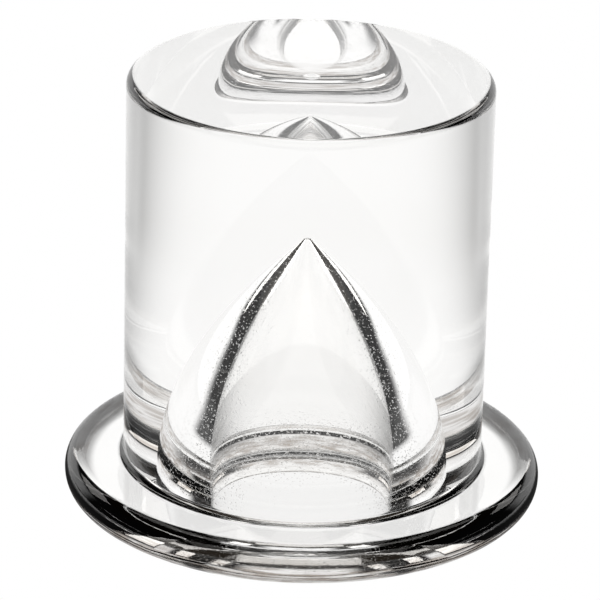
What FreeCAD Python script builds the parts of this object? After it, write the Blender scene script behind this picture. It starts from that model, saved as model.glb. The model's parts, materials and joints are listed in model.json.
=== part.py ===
"""Clear pressed-glass knob: a solid barrel on a round-edged flange, with a pointed cavity inside.

The knob is one piece of glass.  It is a body of revolution about +Z, so the whole shape is one half
section turned once round the axis.  The origin is the centre of the underside, and the underside
lies on Z = 0.  Everything is in millimetres.
"""
import FreeCAD, Part
import math
import os

# Barrel: the straight part that stands up through a lid's hole.
barrel_radius = 14.29
overall_height = 34.8
top_edge_radius = 0.77

# Flange: the foot that stays under the lid.  Its rim is nearly a full half round.
flange_radius = 18.93
flange_thickness = 3.3
rim_upper_radius = 1.5
rim_lower_radius = 1.75
foot_fillet_radius = 0.55

# Cavity: what the pointed forming tool leaves, open at the underside.  Its wall is a pointed arch
# that starts square to its base plane, so its arc follows from the radius and the height alone.
cavity_radius = 7.2
cavity_base_height = 1.65
arch_height = 22.05
cavity_tip_radius = 0.25
mouth_edge_radius = 0.35

# Shallow dimple in the middle of the top face, where the gather of glass was cut off.
dimple_radius = 0.65
dimple_depth = 0.09

# Radius of the arch, from its half width and its height, and where its centre lies.
arch_radius = (cavity_radius ** 2 + arch_height ** 2) / (2 * cavity_radius)
arch_centre_r = cavity_radius - arch_radius

# The tip's small sphere touches the arch from inside.
tip_centre_z = cavity_base_height + math.sqrt(
    (arch_radius - cavity_tip_radius) ** 2 - arch_centre_r ** 2
)
tip_top_z = tip_centre_z + cavity_tip_radius


def point(r, z):
    """A point of the half section, r from the axis and z above the underside."""
    return FreeCAD.Vector(r, 0, z)


def on_circle(centre_r, centre_z, radius, angle):
    """The point of a circle of the half section at an angle, in degrees from the outward direction."""
    turn = math.radians(angle)
    return point(centre_r + radius * math.cos(turn), centre_z + radius * math.sin(turn))


def line(start, end):
    """One straight edge."""
    return Part.LineSegment(start, end).toShape()


def arc(centre_r, centre_z, radius, start_angle, end_angle):
    """One round edge between two angles of a circle."""
    middle_angle = (start_angle + end_angle) / 2
    start = on_circle(centre_r, centre_z, radius, start_angle)
    middle = on_circle(centre_r, centre_z, radius, middle_angle)
    end = on_circle(centre_r, centre_z, radius, end_angle)
    return Part.Arc(start, middle, end).toShape()


def cavity_edges():
    """The cavity's wall, from the tip on the axis down to the underside."""
    touch_angle = math.degrees(math.atan2(tip_centre_z - cavity_base_height, -arch_centre_r))
    mouth_r = cavity_radius + mouth_edge_radius
    return [
        arc(0, tip_centre_z, cavity_tip_radius, 90, touch_angle),
        arc(arch_centre_r, cavity_base_height, arch_radius, touch_angle, 0),
        line(point(cavity_radius, cavity_base_height), point(cavity_radius, mouth_edge_radius)),
        arc(mouth_r, mouth_edge_radius, mouth_edge_radius, 180, 270),
    ]


def flange_edges():
    """The underside, the rim and the flange's top face, out from the mouth and back to the foot."""
    mouth_r = cavity_radius + mouth_edge_radius
    lower_r = flange_radius - rim_lower_radius
    upper_r = flange_radius - rim_upper_radius
    upper_z = flange_thickness - rim_upper_radius
    foot_r = barrel_radius + foot_fillet_radius
    foot_z = flange_thickness + foot_fillet_radius
    return [
        line(point(mouth_r, 0), point(lower_r, 0)),
        arc(lower_r, rim_lower_radius, rim_lower_radius, -90, 0),
        line(point(flange_radius, rim_lower_radius), point(flange_radius, upper_z)),
        arc(upper_r, upper_z, rim_upper_radius, 0, 90),
        line(point(upper_r, flange_thickness), point(foot_r, flange_thickness)),
        arc(foot_r, foot_z, foot_fillet_radius, 270, 180),
    ]


def barrel_edges():
    """The barrel's side, its top edge, the top face and the dimple, up from the foot to the axis."""
    foot_z = flange_thickness + foot_fillet_radius
    edge_r = barrel_radius - top_edge_radius
    edge_z = overall_height - top_edge_radius
    # A circle through the dimple's rim and its deepest point, with its centre above the top face.
    dimple_curve = (dimple_radius ** 2 + dimple_depth ** 2) / (2 * dimple_depth)
    dimple_centre_z = overall_height - dimple_depth + dimple_curve
    half_angle = math.degrees(math.asin(dimple_radius / dimple_curve))
    return [
        line(point(barrel_radius, foot_z), point(barrel_radius, edge_z)),
        arc(edge_r, edge_z, top_edge_radius, 0, 90),
        line(point(edge_r, overall_height), point(dimple_radius, overall_height)),
        arc(0, dimple_centre_z, dimple_curve, 270 + half_angle, 270),
        line(point(0, overall_height - dimple_depth), point(0, tip_top_z)),
    ]


def glass_knob():
    """The whole knob: the closed half section turned once about the axis."""
    section = Part.Wire(cavity_edges() + flange_edges() + barrel_edges())
    return Part.Face(section).revolve(point(0, 0), FreeCAD.Vector(0, 0, 1), 360)


os.makedirs("parts", exist_ok=True)
knob = glass_knob()
knob.exportStep("parts/glass_knob.step")
print("valid", knob.isValid(), "volume in cubic cm", round(knob.Volume / 1000, 3))
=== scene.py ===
import json
import math

import bmesh
import bpy
from bpy.props import FloatProperty, FloatVectorProperty, IntProperty, PointerProperty
from bpy.types import Operator, Panel, PropertyGroup
from mathutils import Matrix, Vector


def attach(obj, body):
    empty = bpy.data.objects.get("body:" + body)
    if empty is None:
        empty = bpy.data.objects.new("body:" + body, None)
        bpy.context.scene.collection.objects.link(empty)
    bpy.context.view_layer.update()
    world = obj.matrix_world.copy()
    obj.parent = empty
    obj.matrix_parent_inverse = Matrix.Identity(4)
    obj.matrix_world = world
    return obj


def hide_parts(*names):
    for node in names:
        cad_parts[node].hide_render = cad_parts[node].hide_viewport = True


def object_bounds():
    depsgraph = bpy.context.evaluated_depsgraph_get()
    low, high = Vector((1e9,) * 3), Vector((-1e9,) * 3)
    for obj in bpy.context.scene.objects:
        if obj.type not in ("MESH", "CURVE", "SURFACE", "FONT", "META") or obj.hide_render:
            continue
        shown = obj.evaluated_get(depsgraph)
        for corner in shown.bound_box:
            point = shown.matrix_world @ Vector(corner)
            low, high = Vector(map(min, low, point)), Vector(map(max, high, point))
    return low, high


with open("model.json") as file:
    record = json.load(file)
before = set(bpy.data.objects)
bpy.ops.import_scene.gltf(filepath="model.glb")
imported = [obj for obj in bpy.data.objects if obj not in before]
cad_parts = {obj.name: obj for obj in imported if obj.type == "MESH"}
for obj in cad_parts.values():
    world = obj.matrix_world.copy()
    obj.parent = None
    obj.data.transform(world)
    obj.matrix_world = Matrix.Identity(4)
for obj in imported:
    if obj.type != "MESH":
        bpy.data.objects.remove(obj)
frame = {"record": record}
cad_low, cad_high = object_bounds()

bl_info = {
    "name": "Pressed glass knob",
    "version": (1, 0, 0),
    "blender": (4, 5, 0),
    "location": "View3D > Sidebar > Glass Knob",
    "description": "Builds a clear pressed-glass knob and the light table that it stands on",
    "category": "Object",
}

MM = 0.001
CAD_NODE = "glass_knob"


def mount(name):
    """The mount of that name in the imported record."""
    return next(m for m in frame["record"]["mounts"] if m["name"] == name)


# Sizes that the frame already holds.
BARREL_RADIUS = mount("barrel")["dims"]["r_mm"] * MM
FLANGE_THICKNESS = mount("flange_top")["pos_m"][2]
FLANGE_RADIUS = (cad_high.x - cad_low.x) / 2
OVERALL_HEIGHT = cad_high.z - cad_low.z


def length(name, description, default):
    """A length in metres that a user can change."""
    return FloatProperty(
        name=name, description=description, default=default, min=0, precision=5, unit="LENGTH"
    )


def share(name, description, default, highest=1.0):
    """A plain number from nothing to its highest value."""
    return FloatProperty(name=name, description=description, default=default, min=0, max=highest)


# ---------------------------------------------------------------- properties


class KnobSizes(PropertyGroup):
    """Sizes of the pressed glass."""

    barrel_radius: length("Barrel radius", "Radius of the straight barrel", BARREL_RADIUS)
    overall_height: length("Overall height", "From the underside to the top face", OVERALL_HEIGHT)
    top_edge_radius: length("Top edge radius", "Round edge of the top face", 0.77 * MM)
    flange_radius: length("Flange radius", "Radius of the foot flange", FLANGE_RADIUS)
    flange_thickness: length("Flange thickness", "Height of the foot flange", FLANGE_THICKNESS)
    rim_upper_radius: length("Rim upper radius", "Upper half of the rim's round", 1.5 * MM)
    rim_lower_radius: length("Rim lower radius", "Lower half of the rim's round", 1.75 * MM)
    foot_fillet_radius: length("Foot fillet", "Hollow round where barrel meets flange", 0.55 * MM)
    cavity_radius: length("Cavity radius", "Radius of the pointed cavity at its base", 7.2 * MM)
    cavity_base_height: length("Cavity base", "Height at which the arch starts", 1.65 * MM)
    arch_height: length("Arch height", "Height of the pointed arch, were its tip sharp", 22.05 * MM)
    cavity_tip_radius: length("Cavity tip", "Small round at the cavity's point", 0.25 * MM)
    mouth_edge_radius: length("Mouth edge", "Round edge of the cavity's mouth", 0.35 * MM)
    dimple_radius: length("Dimple radius", "Radius of the cut-off dimple on top", 0.65 * MM)
    dimple_depth: length("Dimple depth", "Depth of the cut-off dimple on top", 0.09 * MM)
    turn_steps: IntProperty(
        name="Turn steps", description="Flat steps in one turn of the glass", default=288, min=24
    )
    waviness: length("Waviness", "How far the fire-polished skin sinks here and there", 0.012 * MM)
    wave_length: length("Wave length", "Distance from one slow wave to the next", 7.0 * MM)


class GlassFinish(PropertyGroup):
    """Colour and surface of the glass."""

    tint: FloatVectorProperty(
        name="Tint",
        description="Colour of the light that the clear glass lets through",
        subtype="COLOR",
        default=(0.992, 0.990, 0.984),
        min=0,
        max=1,
    )
    refractive_index: share("Refractive index", "How strongly the glass bends light", 1.52, 2.5)
    grain_size: length("Chill grain size", "Distance between grains on the cavity's wall", 0.15 * MM)
    grain_depth: length("Chill grain depth", "Height of the grains on the cavity's wall", 0.008 * MM)
    # The ring is painted shade: near-black grains on the far cavity wall.
    ring_height: length("Chill ring height", "Height of the ring on the far cavity wall", 4.5 * MM)
    ring_width: length("Chill ring width", "Width of that ring", 0.42 * MM)
    streak_depth: length("Streak depth", "Height of the fine drag lines round the rim", 0.004 * MM)
    # The rim's painted brown shade reaches up to this height.
    rim_shade_height: length("Wear height", "How far up the rim the brown wear goes", 3.0 * MM)
    film: share("Handling film", "Roughness that faint smears add", 0.03, 0.5)


class TableLight(PropertyGroup):
    """The light table and the lamps."""

    table_glow: share("Table glow", "Table behind the knob, straight through the glass", 1.02, 5.0)
    side_glow: share("Side glow", "Table to the sides, straight through the glass", 0.4, 5.0)
    front_glow: share("Front glow", "Table before the knob, straight through the glass", 0.95, 5.0)
    under_glow: share("Under glow", "Table under the knob", 0.97, 5.0)
    through_ring: share("Shadow ring", "Depth of the shadow round the rim, straight through", 0.75)
    horizon_glow: share("Horizon glow", "The table's far edge", 1.0, 5.0)
    panel_glow: share("Panel glow", "The tall white back", 1.1, 5.0)
    dark_glow: share("Dark glow", "What the unlit back still sends out", 0.02)
    flag_start: share("Flags start", "Turn from behind where the black flags start", 52.0, 180.0)
    flag_end: share("Flags end", "Turn from behind where the flags are full black", 66.0, 180.0)
    flag_glow: share("Flag glow", "What the black flags still send out", 0.03)
    inner_front: share("Inner front glow", "Table before the knob, by reflection in the glass", 0.6, 5.0)
    inner_ring: share("Inner shadow ring", "Depth of the shadow round the rim, by reflection", 0.95)
    inner_under: share("Inner under glow", "Table under the knob, by reflection", 1.0, 5.0)
    top_glow: share("Top box glow", "The softbox above and behind", 0.8, 5.0)
    over_glow: share("Overhead glow", "The softbox straight above", 0.6, 5.0)
    front_box_glow: share("Front box glow", "The wide softbox above the camera", 0.55, 5.0)
    side_box_glow: share("Side box glow", "The two small softboxes behind to the sides", 1.5, 5.0)
    dark_room: FloatVectorProperty(
        name="Dark room",
        description="Colour of the unlit room above the table",
        subtype="COLOR",
        default=(0.020, 0.016, 0.012),
        min=0,
        max=1,
    )


# ---------------------------------------------------------------- half section


def round_stretch(centre_r, centre_z, radius, start_angle, end_angle, steps):
    """Points of an arc of the half section, both ends included, angles in degrees."""
    angles = [
        math.radians(start_angle + (end_angle - start_angle) * step / steps)
        for step in range(steps + 1)
    ]
    return [(centre_r + radius * math.cos(a), centre_z + radius * math.sin(a)) for a in angles]


def straight_stretch(start, end, spacing, hair=0.05 * MM):
    """Points of a line, with one a hair from each end so that the shading turns only on the arcs."""
    start, end = Vector(start), Vector(end)
    reach = (end - start).length
    if reach <= 2.5 * hair:
        return [tuple(start), tuple(end)]
    steps = max(1, round((reach - 2 * hair) / spacing))
    distances = [hair + (reach - 2 * hair) * step / steps for step in range(steps + 1)]
    inner = [start + (end - start) * (d / reach) for d in distances]
    return [tuple(p) for p in [start, *inner, end]]


def half_section(size):
    """The outline from the cavity's tip, down and out round the flange, then up and in to the middle of
    the top, as stretches of points.  Each stretch carries its share of cavity wall and of rim."""
    arch_radius = (size.cavity_radius**2 + size.arch_height**2) / (2 * size.cavity_radius)
    arch_centre_r = size.cavity_radius - arch_radius
    tip_reach = arch_radius - size.cavity_tip_radius
    tip_centre_z = size.cavity_base_height + math.sqrt(tip_reach**2 - arch_centre_r**2)
    tip_angle = math.degrees(math.atan2(tip_centre_z - size.cavity_base_height, -arch_centre_r))
    mouth_r = size.cavity_radius + size.mouth_edge_radius
    lower_r = size.flange_radius - size.rim_lower_radius
    upper_r = size.flange_radius - size.rim_upper_radius
    upper_z = size.flange_thickness - size.rim_upper_radius
    foot_r = size.barrel_radius + size.foot_fillet_radius
    foot_z = size.flange_thickness + size.foot_fillet_radius
    edge_r = size.barrel_radius - size.top_edge_radius
    edge_z = size.overall_height - size.top_edge_radius
    dimple_curve = (size.dimple_radius**2 + size.dimple_depth**2) / (2 * size.dimple_depth)
    dimple_centre_z = size.overall_height - size.dimple_depth + dimple_curve
    dimple_angle = math.degrees(math.asin(size.dimple_radius / dimple_curve))

    cavity_foot = (size.cavity_radius, size.cavity_base_height)
    cavity_end = (size.cavity_radius, size.mouth_edge_radius)
    flange_top = [(upper_r, size.flange_thickness), (foot_r, size.flange_thickness)]
    side = [(size.barrel_radius, foot_z), (size.barrel_radius, edge_z)]
    top = [(edge_r, size.overall_height), (size.dimple_radius, size.overall_height)]
    arch = round_stretch(arch_centre_r, size.cavity_base_height, arch_radius, tip_angle, 0, 56)
    dimple = round_stretch(0, dimple_centre_z, dimple_curve, 270 + dimple_angle, 270, 6)
    coarse = 0.8 * MM
    return [
        (round_stretch(0, tip_centre_z, size.cavity_tip_radius, 90, tip_angle, 8), 1, 0),
        (arch, 1, 0),
        (straight_stretch(cavity_foot, cavity_end, coarse), 0.2, 0),
        (round_stretch(mouth_r, size.mouth_edge_radius, size.mouth_edge_radius, 180, 270, 8), 0.2, 0),
        (straight_stretch((mouth_r, 0), (lower_r, 0), coarse), 0, 0),
        (round_stretch(lower_r, size.rim_lower_radius, size.rim_lower_radius, -90, 0, 24), 0, 1),
        (round_stretch(upper_r, upper_z, size.rim_upper_radius, 0, 90, 22), 0, 1),
        (straight_stretch(*flange_top, coarse), 0, 0.3),
        (round_stretch(foot_r, foot_z, size.foot_fillet_radius, 270, 180, 12), 0, 0),
        (straight_stretch(*side, coarse), 0, 0),
        (round_stretch(edge_r, edge_z, size.top_edge_radius, 0, 90, 18), 0, 0),
        (straight_stretch(*top, coarse), 0, 0),
        (dimple, 0, 0),
    ]


def section_mesh(name, stretches, mask_names):
    """A mesh with one vertex for each point of the outline, and one attribute for each mask."""
    points, masks = [], []
    for stretch, *values in stretches:
        for r, z in stretch:
            if points and math.hypot(r - points[-1][0], z - points[-1][2]) < 1e-8:
                continue
            points.append((r if r > 1e-9 else 0.0, 0.0, z))
            masks.append(values)
    mesh = bpy.data.meshes.new(name)
    mesh.from_pydata(points, [(i, i + 1) for i in range(len(points) - 1)], [])
    for column, mask_name in enumerate(mask_names):
        attribute = mesh.attributes.new(mask_name, "FLOAT", "POINT")
        attribute.data.foreach_set("value", [row[column] for row in masks])
    return mesh


# ---------------------------------------------------------------- node helpers


def add_node(tree, kind, place, operation=None, **values):
    """A node of a tree at (column, row), with the values of its named inputs."""
    node = tree.nodes.new(kind)
    node.location = (place[0] * 200, -place[1] * 180)
    if operation is not None:
        node.operation = operation
    for name, value in values.items():
        node.inputs[name.replace("_", " ")].default_value = value
    return node


def maths(tree, place, operation, first, second=None, third=None):
    """One sum of a tree.  Each term is a number or another node's output."""
    node = add_node(tree, "ShaderNodeMath", place, operation)
    for socket, term in zip(node.inputs, (first, second, third)):
        if isinstance(term, bpy.types.NodeSocket):
            tree.links.new(term, socket)
        elif term is not None:
            socket.default_value = term
    return node.outputs[0]


def vector_maths(tree, place, operation, first, second=None, scale=None):
    """One vector sum of a tree.  The dot product and the length put out a number."""
    node = add_node(tree, "ShaderNodeVectorMath", place, operation)
    for socket, term in zip(node.inputs, (first, second)):
        if isinstance(term, bpy.types.NodeSocket):
            tree.links.new(term, socket)
        elif term is not None:
            socket.default_value = term
    if isinstance(scale, bpy.types.NodeSocket):
        tree.links.new(scale, node.inputs["Scale"])
    elif scale is not None:
        node.inputs["Scale"].default_value = scale
    return node.outputs["Value" if operation in ("LENGTH", "DOT_PRODUCT") else "Vector"]


def smooth_step(tree, place, value, start, end, low=0.0, high=1.0):
    """A smooth rise of value from low at start to high at end."""
    node = tree.nodes.new("ShaderNodeMapRange")
    node.location = (place[0] * 200, -place[1] * 180)
    node.interpolation_type = "SMOOTHSTEP"
    tree.links.new(value, node.inputs["Value"])
    for name, term in zip(("From Min", "From Max", "To Min", "To Max"), (start, end, low, high)):
        node.inputs[name].default_value = term
    return node.outputs["Result"]


def noise(tree, place, vector, detail, seed=0.0):
    """Soft noise, about one blob for each unit of the vector."""
    node = tree.nodes.new("ShaderNodeTexNoise")
    node.location = (place[0] * 200, -place[1] * 180)
    node.noise_dimensions = "4D"
    tree.links.new(vector, node.inputs["Vector"])
    if isinstance(seed, bpy.types.NodeSocket):
        tree.links.new(seed, node.inputs["W"])
    else:
        node.inputs["W"].default_value = seed
    node.inputs["Scale"].default_value = 1.0
    node.inputs["Detail"].default_value = detail
    return node.outputs[0]


def new_tree(name, kind, inputs, outputs):
    """An empty node group with named inputs and outputs, and its two end nodes."""
    tree = bpy.data.node_groups.new(name, kind)
    for socket_name, socket_type, default in inputs:
        socket = tree.interface.new_socket(
            name=socket_name, in_out="INPUT", socket_type=socket_type
        )
        if default is not None:
            socket.default_value = default
    for socket_name, socket_type in outputs:
        tree.interface.new_socket(name=socket_name, in_out="OUTPUT", socket_type=socket_type)
    start = tree.nodes.new("NodeGroupInput")
    start.location = (-400, 0)
    end = tree.nodes.new("NodeGroupOutput")
    end.location = (3000, 0)
    return tree, start, end


# ---------------------------------------------------------------- turning by Geometry Nodes


def turning_tree(mask_names):
    """Turns a half section once about +Z.  Row r of a grid is point r of the section, and column c
    stands at c steps of the turn.  The skin then sinks a little in slow waves, never outwards."""
    tree, start, end = new_tree(
        "turn_half_section",
        "GeometryNodeTree",
        [
            ("Half Section", "NodeSocketGeometry", None),
            ("Turn Steps", "NodeSocketInt", 96),
            ("Waviness", "NodeSocketFloat", 0.0),
            ("Wave Length", "NodeSocketFloat", 5.0 * MM),
            ("Seed", "NodeSocketFloat", 0.0),
            ("Finish", "NodeSocketMaterial", None),
        ],
        [("Turned", "NodeSocketGeometry")],
    )
    link = tree.links.new
    size = add_node(tree, "GeometryNodeAttributeDomainSize", (0, 1))
    link(start.outputs["Half Section"], size.inputs[0])
    rows = size.outputs["Point Count"]
    columns = maths(tree, (0, 2), "ADD", start.outputs["Turn Steps"], 1.0)
    grid = add_node(tree, "GeometryNodeMeshGrid", (1, 0))
    link(columns, grid.inputs["Vertices X"])
    link(rows, grid.inputs["Vertices Y"])
    index = tree.nodes.new("GeometryNodeInputIndex").outputs[0]
    row = maths(tree, (1, 2), "MODULO", index, rows)
    column = maths(tree, (1, 3), "FLOOR", maths(tree, (1, 4), "DIVIDE", index, rows))
    turned = maths(tree, (2, 3), "DIVIDE", column, start.outputs["Turn Steps"])
    angle = maths(tree, (3, 3), "MULTIPLY", turned, 2 * math.pi)

    def sampled(place, data_type, value):
        """The value of the section's point of this row."""
        node = tree.nodes.new("GeometryNodeSampleIndex")
        node.location = (place[0] * 200, -place[1] * 180)
        node.data_type = data_type
        link(start.outputs["Half Section"], node.inputs["Geometry"])
        link(value, node.inputs["Value"])
        link(row, node.inputs["Index"])
        return node.outputs["Value"]

    position = tree.nodes.new("GeometryNodeInputPosition").outputs[0]
    rotate = tree.nodes.new("ShaderNodeVectorRotate")
    rotate.rotation_type = "Z_AXIS"
    link(sampled((4, 1), "FLOAT_VECTOR", position), rotate.inputs["Vector"])
    link(angle, rotate.inputs["Angle"])
    placed = add_node(tree, "GeometryNodeSetPosition", (5, 0))
    link(grid.outputs["Mesh"], placed.inputs["Geometry"])
    link(rotate.outputs[0], placed.inputs["Position"])
    geometry = placed.outputs["Geometry"]
    for place, mask_name in enumerate(mask_names):
        named = tree.nodes.new("GeometryNodeInputNamedAttribute")
        named.inputs["Name"].default_value = mask_name
        stored = add_node(tree, "GeometryNodeStoreNamedAttribute", (6 + place, 1), Name=mask_name)
        stored.domain = "POINT"
        link(geometry, stored.inputs["Geometry"])
        link(sampled((6 + place, 3), "FLOAT", named.outputs["Attribute"]), stored.inputs["Value"])
        geometry = stored.outputs["Geometry"]

    merged = add_node(tree, "GeometryNodeMergeByDistance", (9, 0), Distance=1e-7)
    link(geometry, merged.inputs["Geometry"])
    normal = tree.nodes.new("GeometryNodeInputNormal").outputs["Normal"]
    per_wave = maths(tree, (9, 3), "DIVIDE", 1.0, start.outputs["Wave Length"])
    waves = vector_maths(tree, (10, 3), "SCALE", position, scale=per_wave)
    swell = noise(tree, (11, 3), waves, 1.5, start.outputs["Seed"])
    sink = maths(tree, (12, 3), "MULTIPLY", swell, start.outputs["Waviness"])
    inward = maths(tree, (12, 4), "MULTIPLY", sink, -1.0)
    sunk = add_node(tree, "GeometryNodeSetPosition", (13, 0))
    link(merged.outputs["Geometry"], sunk.inputs["Geometry"])
    link(vector_maths(tree, (12, 2), "SCALE", normal, scale=inward), sunk.inputs["Offset"])
    smooth = add_node(tree, "GeometryNodeSetShadeSmooth", (14, 0))
    link(sunk.outputs["Geometry"], smooth.inputs["Geometry"])
    real = add_node(tree, "GeometryNodeRealizeInstances", (15, 0))
    link(smooth.outputs["Geometry"], real.inputs["Geometry"])
    finished = add_node(tree, "GeometryNodeSetMaterial", (16, 0))
    link(real.outputs["Geometry"], finished.inputs["Geometry"])
    link(start.outputs["Finish"], finished.inputs["Material"])
    link(finished.outputs["Geometry"], end.inputs["Turned"])
    return tree


def socket_of(tree, name):
    """The identifier of a tree's named input."""
    return next(
        item.identifier
        for item in tree.interface.items_tree
        if item.item_type == "SOCKET" and item.in_out == "INPUT" and item.name == name
    )


def turned_piece(name, section, tree, values):
    """Runs the turning tree on a section and keeps the result as a plain mesh at the origin."""
    piece = bpy.data.objects.new(name, section)
    bpy.context.scene.collection.objects.link(piece)
    modifier = piece.modifiers.new("turning", "NODES")
    modifier.node_group = tree
    for input_name, value in values.items():
        modifier[socket_of(tree, input_name)] = value
    depsgraph = bpy.context.evaluated_depsgraph_get()
    mesh = bpy.data.meshes.new_from_object(piece.evaluated_get(depsgraph))
    piece.modifiers.remove(modifier)
    piece.data = mesh
    mesh.name = name
    bpy.data.meshes.remove(section)
    return piece


def face_outwards(mesh):
    """Turns every face of a closed mesh outwards."""
    shape = bmesh.new()
    shape.from_mesh(mesh)
    bmesh.ops.recalc_face_normals(shape, faces=shape.faces)
    shape.to_mesh(mesh)
    shape.free()
    mesh.update()


# ---------------------------------------------------------------- glass


def chill_grain_group():
    """The fine granular skin that a cold forming tool leaves: a height that changes over the wall."""
    tree, start, end = new_tree(
        "chill_grain",
        "ShaderNodeTree",
        [
            ("Position", "NodeSocketVector", None),
            ("Mask", "NodeSocketFloat", 1.0),
            ("Grain Size", "NodeSocketFloat", 0.2 * MM),
            ("Depth", "NodeSocketFloat", 0.01 * MM),
        ],
        [("Height", "NodeSocketFloat")],
    )
    per_grain = maths(tree, (0, 1), "DIVIDE", 1.0, start.outputs["Grain Size"])
    fine = vector_maths(tree, (1, 1), "SCALE", start.outputs["Position"], scale=per_grain)
    grain = smooth_step(tree, (2, 0), noise(tree, (2, 1), fine, 1.0), 0.6, 0.72)
    patches = vector_maths(tree, (1, 3), "SCALE", start.outputs["Position"], scale=1 / (2.2 * MM))
    patch_noise = noise(tree, (2, 3), patches, 1.0, 4.0)
    strength = smooth_step(tree, (3, 3), patch_noise, 0.3, 0.7, 0.45, 1.0)
    masked = maths(tree, (4, 1), "MULTIPLY", grain, start.outputs["Mask"])
    patchy = maths(tree, (5, 1), "MULTIPLY", masked, strength)
    height = maths(tree, (6, 1), "MULTIPLY", patchy, start.outputs["Depth"])
    tree.links.new(height, end.inputs["Height"])
    return tree


def drag_lines_group():
    """Fine lines that run round the axis, as a mould and years of turning in the hand leave them."""
    tree, start, end = new_tree(
        "drag_lines",
        "ShaderNodeTree",
        [
            ("Position", "NodeSocketVector", None),
            ("Mask", "NodeSocketFloat", 1.0),
            ("Line Spacing", "NodeSocketFloat", 0.25 * MM),
            ("Lines Per Turn", "NodeSocketFloat", 6.0),
            ("Depth", "NodeSocketFloat", 0.003 * MM),
        ],
        [("Height", "NodeSocketFloat")],
    )
    flat = vector_maths(tree, (0, 1), "MULTIPLY", start.outputs["Position"], (1.0, 1.0, 0.0))
    outward = vector_maths(tree, (1, 1), "NORMALIZE", flat)
    round_axis = vector_maths(
        tree, (2, 1), "SCALE", outward, scale=start.outputs["Lines Per Turn"]
    )
    per_line = maths(tree, (0, 3), "DIVIDE", 1.0, start.outputs["Line Spacing"])
    radius = vector_maths(tree, (1, 3), "LENGTH", flat)
    split = add_node(tree, "ShaderNodeSeparateXYZ", (1, 4))
    tree.links.new(start.outputs["Position"], split.inputs[0])
    across = maths(tree, (2, 3), "SUBTRACT", radius, split.outputs["Z"])
    seed = maths(tree, (3, 3), "MULTIPLY", across, per_line)
    lines = noise(tree, (4, 1), round_axis, 2.0, seed)
    masked = maths(tree, (5, 1), "MULTIPLY", lines, start.outputs["Mask"])
    height = maths(tree, (6, 1), "MULTIPLY", masked, start.outputs["Depth"])
    tree.links.new(height, end.inputs["Height"])
    return tree


def handling_film_group():
    """Faint smears from handling: a roughness and a small shift of colour in soft patches."""
    tree, start, end = new_tree(
        "handling_film",
        "ShaderNodeTree",
        [
            ("Position", "NodeSocketVector", None),
            ("Tint", "NodeSocketColor", (1.0, 1.0, 1.0, 1.0)),
            ("Film", "NodeSocketFloat", 0.03),
        ],
        [("Roughness", "NodeSocketFloat"), ("Colour", "NodeSocketColor")],
    )
    wide = vector_maths(tree, (0, 1), "SCALE", start.outputs["Position"], scale=1 / (9.0 * MM))
    smears = smooth_step(tree, (2, 1), noise(tree, (1, 1), wide, 3.0, 2.0), 0.5, 0.8)
    roughness = maths(tree, (3, 1), "MULTIPLY", smears, start.outputs["Film"])
    tree.links.new(roughness, end.inputs["Roughness"])
    darker = tree.nodes.new("ShaderNodeMix")
    darker.data_type = "RGBA"
    darker.blend_type = "MULTIPLY"
    darker.inputs["B"].default_value = (0.975, 0.972, 0.965, 1.0)
    tree.links.new(smears, darker.inputs["Factor"])
    tree.links.new(start.outputs["Tint"], darker.inputs["A"])
    tree.links.new(darker.outputs["Result"], end.inputs["Colour"])
    return tree


def painted_dark_ring_group():
    """The thin granular ring on the far side of the cavity: painted shade, grains turned near black,
    standing in for the dark line that refraction shows there.
    """
    tree, start, end = new_tree(
        "chill_ring",
        "ShaderNodeTree",
        [
            ("Position", "NodeSocketVector", None),
            ("Mask", "NodeSocketFloat", 1.0),
            ("Colour", "NodeSocketColor", (1.0, 1.0, 1.0, 1.0)),
            ("Ring Height", "NodeSocketFloat", 4.5 * MM),
            ("Ring Width", "NodeSocketFloat", 0.3 * MM),
        ],
        [("Colour", "NodeSocketColor")],
    )
    split = add_node(tree, "ShaderNodeSeparateXYZ", (0, 0))
    tree.links.new(start.outputs["Position"], split.inputs[0])
    offset = maths(tree, (1, 0), "SUBTRACT", split.outputs["Z"], start.outputs["Ring Height"])
    distance = maths(tree, (2, 1), "ABSOLUTE", offset)
    widths = maths(tree, (2, 0), "DIVIDE", distance, start.outputs["Ring Width"])
    band = smooth_step(tree, (3, 0), widths, 0.42, 0.62, 1.0, 0.0)
    far_side = smooth_step(tree, (3, 2), split.outputs["Y"], -1.0 * MM, 1.0 * MM)
    fine = vector_maths(tree, (0, 1), "SCALE", start.outputs["Position"], scale=1 / (0.3 * MM))
    grain_noise = noise(tree, (1, 1), fine, 2.0, 6.0)
    grains = smooth_step(tree, (2, 2), grain_noise, 0.56, 0.66, 1.0, 0.0)
    far_grains = maths(tree, (4, 1), "MULTIPLY", grains, far_side)
    ring = maths(tree, (4, 0), "MULTIPLY", band, far_grains)
    cover = maths(tree, (5, 0), "MULTIPLY", ring, start.outputs["Mask"])
    # Painted shade: the ring's grains turn near black.
    ring_darkened = tree.nodes.new("ShaderNodeMix")
    ring_darkened.data_type = "RGBA"
    ring_darkened.inputs["B"].default_value = (0.0006, 0.0006, 0.0006, 1.0)
    tree.links.new(cover, ring_darkened.inputs["Factor"])
    tree.links.new(start.outputs["Colour"], ring_darkened.inputs["A"])
    tree.links.new(ring_darkened.outputs["Result"], end.inputs["Colour"])
    return tree


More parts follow.
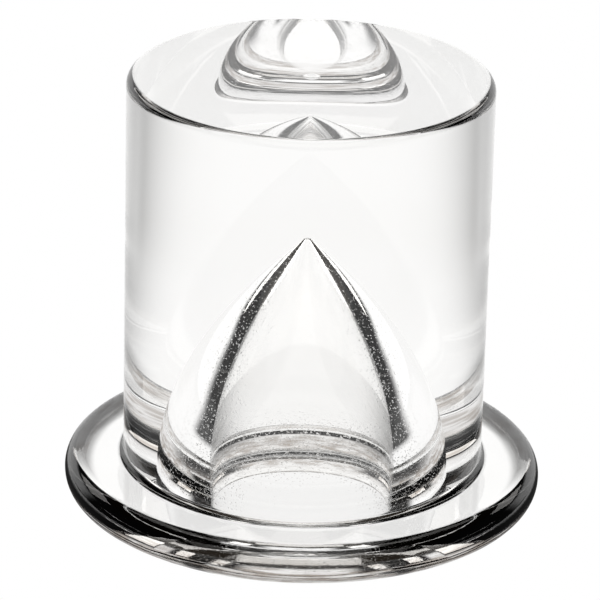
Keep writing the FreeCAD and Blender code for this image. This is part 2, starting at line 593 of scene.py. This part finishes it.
def painted_rim_shade_group():
    """Painted shade on the lower half of the rim: a dark brown, in streaks that run round it, standing
    in for the dark that the rim shows by refraction.
    """
    tree, start, end = new_tree(
        "worn_rim",
        "ShaderNodeTree",
        [
            ("Position", "NodeSocketVector", None),
            ("Mask", "NodeSocketFloat", 1.0),
            ("Colour", "NodeSocketColor", (1.0, 1.0, 1.0, 1.0)),
            ("Wear Height", "NodeSocketFloat", 1.6 * MM),
        ],
        [("Colour", "NodeSocketColor")],
    )
    split = add_node(tree, "ShaderNodeSeparateXYZ", (0, 0))
    tree.links.new(start.outputs["Position"], split.inputs[0])
    level = maths(tree, (1, 0), "DIVIDE", split.outputs["Z"], start.outputs["Wear Height"])
    low = smooth_step(tree, (2, 0), level, 0.45, 1.0, 1.0, 0.0)
    streak_length, streak_height = 3 * MM, 0.3 * MM
    per_streak = (1 / streak_length, 1 / streak_length, 1 / streak_height)
    stretched = vector_maths(tree, (1, 2), "MULTIPLY", start.outputs["Position"], per_streak)
    streak_noise = noise(tree, (2, 2), stretched, 3.0, 9.0)
    streaks = smooth_step(tree, (3, 2), streak_noise, 0.35, 0.62, 0.35, 1.0)
    low_streaks = maths(tree, (4, 0), "MULTIPLY", low, streaks)
    cover = maths(tree, (5, 0), "MULTIPLY", low_streaks, start.outputs["Mask"])
    # Painted shade: the rim's colour is darkened towards this dark brown.
    rim_darkened = tree.nodes.new("ShaderNodeMix")
    rim_darkened.data_type = "RGBA"
    rim_darkened.inputs["B"].default_value = (0.20, 0.165, 0.138, 1.0)
    tree.links.new(cover, rim_darkened.inputs["Factor"])
    tree.links.new(start.outputs["Colour"], rim_darkened.inputs["A"])
    tree.links.new(rim_darkened.outputs["Result"], end.inputs["Colour"])
    return tree


def group_node(tree, group, place, **values):
    """A shader group placed in a tree with its own values."""
    node = tree.nodes.new("ShaderNodeGroup")
    node.node_tree = group
    node.location = (place[0] * 200, -place[1] * 180)
    for name, value in values.items():
        socket = node.inputs[name.replace("_", " ")]
        if isinstance(value, bpy.types.NodeSocket):
            tree.links.new(value, socket)
        else:
            socket.default_value = value
    return node


def clear_glass(finish):
    """Fire-polished clear glass with chill grain in the cavity and drag lines round the rim."""
    material = bpy.data.materials.new("clear_glass")
    material.use_nodes = True
    tree = material.node_tree
    tree.nodes.clear()
    output = add_node(tree, "ShaderNodeOutputMaterial", (9, 0))
    glass = add_node(tree, "ShaderNodeBsdfPrincipled", (7, 0))
    glass.inputs["Metallic"].default_value = 0.0
    glass.inputs["Transmission Weight"].default_value = 1.0
    glass.inputs["IOR"].default_value = finish.refractive_index
    tree.links.new(glass.outputs[0], output.inputs["Surface"])

    position = add_node(tree, "ShaderNodeTexCoord", (0, 0)).outputs["Object"]

    def mask(name, row):
        """A mask that the turned mesh carries."""
        node = tree.nodes.new("ShaderNodeAttribute")
        node.location = (0, -row * 180)
        node.attribute_name = name
        return node.outputs["Fac"]

    grain = group_node(
        tree, chill_grain_group(), (3, 1), Position=position, Mask=mask("cavity_wall", 1),
        Grain_Size=finish.grain_size, Depth=finish.grain_depth,
    )
    lines = group_node(
        tree, drag_lines_group(), (3, 3), Position=position, Mask=mask("rim", 3),
        Depth=finish.streak_depth,
    )
    film = group_node(
        tree, handling_film_group(), (5, 0), Position=position, Tint=(*finish.tint, 1.0),
        Film=finish.film,
    )
    height = maths(tree, (5, 3), "ADD", grain.outputs["Height"], lines.outputs["Height"])
    bump = add_node(tree, "ShaderNodeBump", (6, 3), Strength=1.0, Distance=1.0)
    tree.links.new(height, bump.inputs["Height"])
    tree.links.new(bump.outputs["Normal"], glass.inputs["Normal"])
    tree.links.new(film.outputs["Roughness"], glass.inputs["Roughness"])
    # Painted shade: a near-black granular ring on the far cavity wall.
    dark_ring_colour = group_node(
        tree, painted_dark_ring_group(), (6, 0), Position=position, Mask=mask("cavity_wall", 5),
        Colour=film.outputs["Colour"], Ring_Height=finish.ring_height,
        Ring_Width=finish.ring_width,
    )
    # Painted shade: the lower rim is darkened to a streaky dark brown.
    rim_shading = group_node(
        tree, painted_rim_shade_group(), (6, 1), Position=position, Mask=mask("rim", 6),
        Colour=dark_ring_colour.outputs["Colour"], Wear_Height=finish.rim_shade_height,
    )
    tree.links.new(rim_shading.outputs["Colour"], glass.inputs["Base Color"])
    return material


class GLASSKNOB_OT_make_knob(Operator):
    """Turn the pressed glass knob and give it its clear finish, with painted shade on the rim and on the
    far cavity wall
    """

    bl_idname = "glassknob.make_knob"
    bl_label = "Glass knob"

    def execute(self, context):
        size = context.scene.knob_sizes
        masks = ["cavity_wall", "rim"]
        section = section_mesh("knob_half_section", half_section(size), masks)
        knob = turned_piece(
            "pressed_glass_knob",
            section,
            turning_tree(masks),
            {
                "Turn Steps": size.turn_steps,
                "Waviness": size.waviness,
                "Wave Length": size.wave_length,
                "Seed": 3.0,
                "Finish": clear_glass(context.scene.glass_finish),
            },
        )
        face_outwards(knob.data)
        if len(knob.data.polygons) < size.turn_steps:
            raise RuntimeError("the half section was not turned into a solid")
        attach(knob, "root")
        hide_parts(CAD_NODE)
        return {"FINISHED"}


# ---------------------------------------------------------------- stage

# Where each part of the table's pattern starts and ends.  Turns are in degrees from straight behind,
# distances are in barrel radii, and elevations are in degrees.
SIDE_TURNS = (20, 62)
FRONT_TURNS = (85, 130)
RING_START = (1.17, 1.24)
RING_END = (1.55, 1.85)
RING_TURNS = (14, 36)
UNDER_EDGE = (1.15, 1.2)
HORIZON_ELEVATIONS = (6, 12)
BACK_TURNS = (48, 58)
FLAG_DISTANCES = (3.4, 5.2)
INNER_FRONT_TURNS = (100, 140)
INNER_FRONT_DISTANCES = (1.2, 1.4)
INNER_RING_START = (1.2, 1.34)
INNER_RING_END = (1.6, 2.3)
INNER_RING_TURNS = (40, 75)
INNER_UNDER_EDGE = (1.1, 1.2)
WIDE_ELEVATIONS = (17, 23)
TALL_TURNS = (14, 27)
TALL_ELEVATIONS = (33, 38)
TABLE_EDGE_SLOPES = (0.0, 0.01)

# Each softbox: name, azimuth from +X and elevation, width and height seen from the knob, all in
# degrees, and the property that holds its strength.
SOFTBOXES = (
    ("top_box", 90, 62, 46, 30, "top_glow"),
    ("overhead_box", 90, 90, 40, 40, "over_glow"),
    ("front_box", 270, 52, 84, 36, "front_box_glow"),
    ("left_back_box", 135, 31, 20, 14, "side_box_glow"),
    ("right_back_box", 45, 31, 20, 14, "side_box_glow"),
)
SOFTBOX_DISTANCE = 1.2
SOFTBOX_COLOUR = (1.0, 0.98, 0.95)


def pattern_terms(tree):
    """Where a point of the table lies, seen from the knob: how far it is, in barrel radii, how far it is
    turned from straight behind, in degrees, and how high it rises, as a slope."""
    position = add_node(tree, "ShaderNodeTexCoord", (0, 0)).outputs["Object"]
    flat = vector_maths(tree, (1, 0), "MULTIPLY", position, (1.0, 1.0, 0.0))
    outward = vector_maths(tree, (2, 1), "NORMALIZE", flat)
    behind = vector_maths(tree, (3, 1), "DOT_PRODUCT", outward, (0.0, 1.0, 0.0))
    turn = maths(tree, (4, 1), "DEGREES", maths(tree, (4, 2), "ARCCOSINE", behind))
    reach = vector_maths(tree, (2, 0), "LENGTH", flat)
    distance = maths(tree, (3, 0), "DIVIDE", reach, BARREL_RADIUS)
    split = add_node(tree, "ShaderNodeSeparateXYZ", (1, 2))
    tree.links.new(position, split.inputs[0])
    slope = maths(tree, (2, 2), "DIVIDE", split.outputs["Z"], reach)
    return distance, turn, slope


def blended(tree, place, factor, first, second):
    """A value that goes from first to second as the factor goes from 0 to 1."""
    node = tree.nodes.new("ShaderNodeMix")
    node.location = (place[0] * 200, -place[1] * 180)
    tree.links.new(factor, node.inputs["Factor"])
    for name, term in (("A", first), ("B", second)):
        if isinstance(term, bpy.types.NodeSocket):
            tree.links.new(term, node.inputs[name])
        else:
            node.inputs[name].default_value = term
    return node.outputs["Result"]


def slopes_of(elevations):
    """The slopes of lines of sight at some elevations."""
    return [math.tan(math.radians(degrees)) for degrees in elevations]


def dimmed(tree, place, value, where, depth):
    """A value made dimmer by a share of itself where a mask stands."""
    keep = maths(tree, place, "MULTIPLY_ADD", where, -depth, 1.0)
    return maths(tree, (place[0] + 1, place[1]), "MULTIPLY", value, keep)


def both(tree, place, first, second):
    """A mask that stands where both of two masks stand."""
    return maths(tree, place, "MULTIPLY", first, second)


def through_glow(tree, terms, light):
    """Glow of the table as the knob lets it straight through: brightest behind, dimmer to the sides."""
    distance, turn, slope = terms
    behind = smooth_step(tree, (6, 0), turn, *SIDE_TURNS, light.table_glow, light.side_glow)
    before = smooth_step(tree, (6, 1), turn, *FRONT_TURNS)
    floor = blended(tree, (7, 0), before, behind, light.front_glow)
    outside_start = smooth_step(tree, (6, 2), distance, *RING_START)
    inside_end = smooth_step(tree, (6, 3), distance, *RING_END, 1.0, 0.0)
    ring = both(tree, (7, 2), outside_start, inside_end)
    ring = both(tree, (8, 2), ring, smooth_step(tree, (6, 4), turn, *RING_TURNS))
    floor = dimmed(tree, (9, 1), floor, ring, light.through_ring)
    outside = smooth_step(tree, (8, 3), distance, *UNDER_EDGE)
    floor = blended(tree, (11, 1), outside, light.under_glow, floor)
    horizon = smooth_step(
        tree, (8, 4), slope, *slopes_of(HORIZON_ELEVATIONS), light.horizon_glow, light.dark_glow
    )
    back = smooth_step(tree, (8, 5), turn, *BACK_TURNS, 1.0, 0.0)
    panel = maths(tree, (9, 5), "MULTIPLY", back, light.panel_glow)
    rising = maths(tree, (10, 4), "MAXIMUM", horizon, panel)
    above = smooth_step(tree, (10, 5), slope, *TABLE_EDGE_SLOPES)
    return blended(tree, (12, 2), above, floor, rising)


def inner_glow(tree, terms, light):
    """Glow of the table as it reaches the eye by a reflection inside or on the glass: a white sweep
    behind, between two black flags that stand to the left and right."""
    distance, turn, slope = terms
    flag_turns = (light.flag_start, light.flag_end)
    beside = smooth_step(tree, (6, 8), turn, *flag_turns)
    far = smooth_step(tree, (6, 9), distance, *FLAG_DISTANCES)
    floor = blended(tree, (8, 8), both(tree, (7, 8), beside, far), 1.0, light.flag_glow)
    before = smooth_step(tree, (6, 10), turn, *INNER_FRONT_TURNS)
    off_rim = smooth_step(tree, (6, 11), distance, *INNER_FRONT_DISTANCES)
    front = both(tree, (7, 10), before, off_rim)
    floor = blended(tree, (9, 8), front, floor, light.inner_front)
    outside_start = smooth_step(tree, (7, 12), distance, *INNER_RING_START)
    inside_end = smooth_step(tree, (7, 13), distance, *INNER_RING_END, 1.0, 0.0)
    ring = both(tree, (8, 12), outside_start, inside_end)
    ring = both(tree, (9, 12), ring, smooth_step(tree, (8, 13), turn, *INNER_RING_TURNS))
    floor = dimmed(tree, (10, 9), floor, ring, light.inner_ring)
    outside = smooth_step(tree, (11, 10), distance, *INNER_UNDER_EDGE)
    floor = blended(tree, (12, 9), outside, light.inner_under, floor)
    between_flags = smooth_step(tree, (7, 14), turn, *flag_turns, 1.0, 0.0)
    below_wide = smooth_step(tree, (7, 15), slope, *slopes_of(WIDE_ELEVATIONS), 1.0, 0.0)
    wide = both(tree, (8, 14), between_flags, below_wide)
    inside_tall = smooth_step(tree, (7, 16), turn, *TALL_TURNS, 1.0, 0.0)
    below_tall = smooth_step(tree, (7, 17), slope, *slopes_of(TALL_ELEVATIONS), 1.0, 0.0)
    tall = both(tree, (8, 16), inside_tall, below_tall)
    panel = maths(tree, (9, 14), "MAXIMUM", wide, tall)
    rising = maths(tree, (10, 14), "MULTIPLY_ADD", panel, light.panel_glow, light.dark_glow)
    above = smooth_step(tree, (10, 15), slope, *TABLE_EDGE_SLOPES)
    return blended(tree, (13, 9), above, floor, rising)


def table_material(light):
    """The lit table and its raised back: plain and pale to look at, with a pattern of glow and black
    flags that only the glass picks up."""
    material = bpy.data.materials.new("lit_table")
    material.use_nodes = True
    tree = material.node_tree
    tree.nodes.clear()
    output = add_node(tree, "ShaderNodeOutputMaterial", (17, 0))
    terms = pattern_terms(tree)
    path = add_node(tree, "ShaderNodeLightPath", (12, 4))
    reflected = maths(tree, (13, 4), "GREATER_THAN", path.outputs["Glossy Depth"], 0.5)
    glow = blended(
        tree, (14, 2), reflected, through_glow(tree, terms, light), inner_glow(tree, terms, light)
    )
    sent = add_node(tree, "ShaderNodeEmission", (15, 1), Color=(1.0, 0.998, 0.995, 1.0))
    seen = add_node(tree, "ShaderNodeEmission", (15, 2), Color=(1.0, 1.0, 1.0, 1.0), Strength=1.0)
    tree.links.new(glow, sent.inputs["Strength"])
    mix = add_node(tree, "ShaderNodeMixShader", (16, 0))
    tree.links.new(path.outputs["Is Camera Ray"], mix.inputs[0])
    tree.links.new(sent.outputs[0], mix.inputs[1])
    tree.links.new(seen.outputs[0], mix.inputs[2])
    tree.links.new(mix.outputs[0], output.inputs["Surface"])
    return material


def sweep_section():
    """Half section of the table: flat, then a rounded rise to its tall back."""
    flat_end, rise_radius, rim_height = 0.9, 0.7, 1.3
    below = 0.02 * MM
    flat = [(r, -below) for r in (0.0, 0.02, 0.06, 0.2, flat_end)]
    rise = round_stretch(flat_end, rise_radius - below, rise_radius, -90, 0, 24)
    return [(flat + rise[1:] + [(flat_end + rise_radius, rim_height)],)]


def softbox(name, azimuth, elevation, width, height, strength):
    """A soft rectangular lamp that faces the knob."""
    light = bpy.data.lights.new(name, "AREA")
    light.shape = "RECTANGLE"
    light.size = 2 * SOFTBOX_DISTANCE * math.tan(math.radians(width / 2))
    light.size_y = 2 * SOFTBOX_DISTANCE * math.tan(math.radians(height / 2))
    light.color = SOFTBOX_COLOUR
    # An area lamp's radiance is its power divided by its area and by pi.
    light.energy = strength * light.size * light.size_y * math.pi
    lamp = bpy.data.objects.new(name, light)
    bpy.context.scene.collection.objects.link(lamp)
    a, e = math.radians(azimuth), math.radians(elevation)
    out = Vector((math.cos(a) * math.cos(e), math.sin(a) * math.cos(e), math.sin(e)))
    lamp.location = out * SOFTBOX_DISTANCE
    facing = Vector((0, 0, -1)) if elevation == 90 else -out
    lamp.rotation_mode = "QUATERNION"
    lamp.rotation_quaternion = facing.to_track_quat("-Z", "Y")
    lamp.visible_camera = False


def product_camera():
    """A long lens that looks down on the knob at about 23 degrees, slightly rolled."""
    aim = Vector((-0.0322 * BARREL_RADIUS, 0.0, 1.126 * BARREL_RADIUS))
    distance = 23.752 * BARREL_RADIUS
    elevation, roll = math.radians(22.79), math.radians(1.437)
    forward = Vector((0.0, math.cos(elevation), -math.sin(elevation)))
    level = Vector((1.0, 0.0, 0.0))
    upright = level.cross(forward)
    right = level * math.cos(roll) + upright * math.sin(roll)
    up = upright * math.cos(roll) - level * math.sin(roll)
    camera = bpy.data.cameras.new("product_camera")
    camera.sensor_width = 36.0
    camera.lens = 258.5
    camera.clip_start = 0.01
    camera.clip_end = 10.0
    holder = bpy.data.objects.new("product_camera", camera)
    bpy.context.scene.collection.objects.link(holder)
    turn = Matrix((right, up, -forward)).transposed().to_4x4()
    turn.translation = aim - forward * distance
    holder.matrix_world = turn
    bpy.context.scene.camera = holder


def dark_room_world(colour):
    """The unlit room above the table."""
    world = bpy.data.worlds.new("dark_room")
    world.use_nodes = True
    background = world.node_tree.nodes["Background"]
    background.inputs["Color"].default_value = (*colour, 1.0)
    background.inputs["Strength"].default_value = 1.0
    bpy.context.scene.world = world


class GLASSKNOB_OT_make_stage(Operator):
    """Lay out the lit table, the softboxes, the dark room and the camera"""

    bl_idname = "glassknob.make_stage"
    bl_label = "Studio stage"

    def execute(self, context):
        light = context.scene.table_light
        section = section_mesh("table_half_section", sweep_section(), [])
        table = turned_piece(
            "lit_table",
            section,
            turning_tree([]),
            {"Turn Steps": 96, "Waviness": 0.0, "Finish": table_material(light)},
        )
        dark_room_world(light.dark_room)
        for name, azimuth, elevation, width, height, strength in SOFTBOXES:
            softbox(name, azimuth, elevation, width, height, getattr(light, strength))
        product_camera()
        context.scene.view_settings.view_transform = "Standard"
        return {"FINISHED"}


# ---------------------------------------------------------------- add-on


class GLASSKNOB_PT_sidebar(Panel):
    """Sidebar list of what the add-on makes, with its sizes"""

    bl_idname = "GLASSKNOB_PT_sidebar"
    bl_label = "Glass Knob"
    bl_space_type = "VIEW_3D"
    bl_region_type = "UI"
    bl_category = "Glass Knob"

    def draw(self, context):
        scene = context.scene
        for group in (scene.knob_sizes, scene.glass_finish, scene.table_light):
            box = self.layout.box()
            for name in group.bl_rna.properties.keys():
                if name not in ("rna_type", "name"):
                    box.prop(group, name)
        for operator in OPERATORS:
            self.layout.operator(operator.bl_idname)


OPERATORS = (GLASSKNOB_OT_make_knob, GLASSKNOB_OT_make_stage)
CLASSES = (KnobSizes, GlassFinish, TableLight, *OPERATORS, GLASSKNOB_PT_sidebar)


def register():
    """Registers the classes and gives every scene the knob's settings."""
    for cls in CLASSES:
        bpy.utils.register_class(cls)
    bpy.types.Scene.knob_sizes = PointerProperty(type=KnobSizes)
    bpy.types.Scene.glass_finish = PointerProperty(type=GlassFinish)
    bpy.types.Scene.table_light = PointerProperty(type=TableLight)


def unregister():
    """Takes the settings and the classes away again."""
    del bpy.types.Scene.table_light
    del bpy.types.Scene.glass_finish
    del bpy.types.Scene.knob_sizes
    for cls in reversed(CLASSES):
        bpy.utils.unregister_class(cls)


def main():
    """Registers the add-on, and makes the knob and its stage."""
    register()
    bpy.ops.glassknob.make_knob()
    bpy.ops.glassknob.make_stage()


if __name__ == "__main__":
    main()
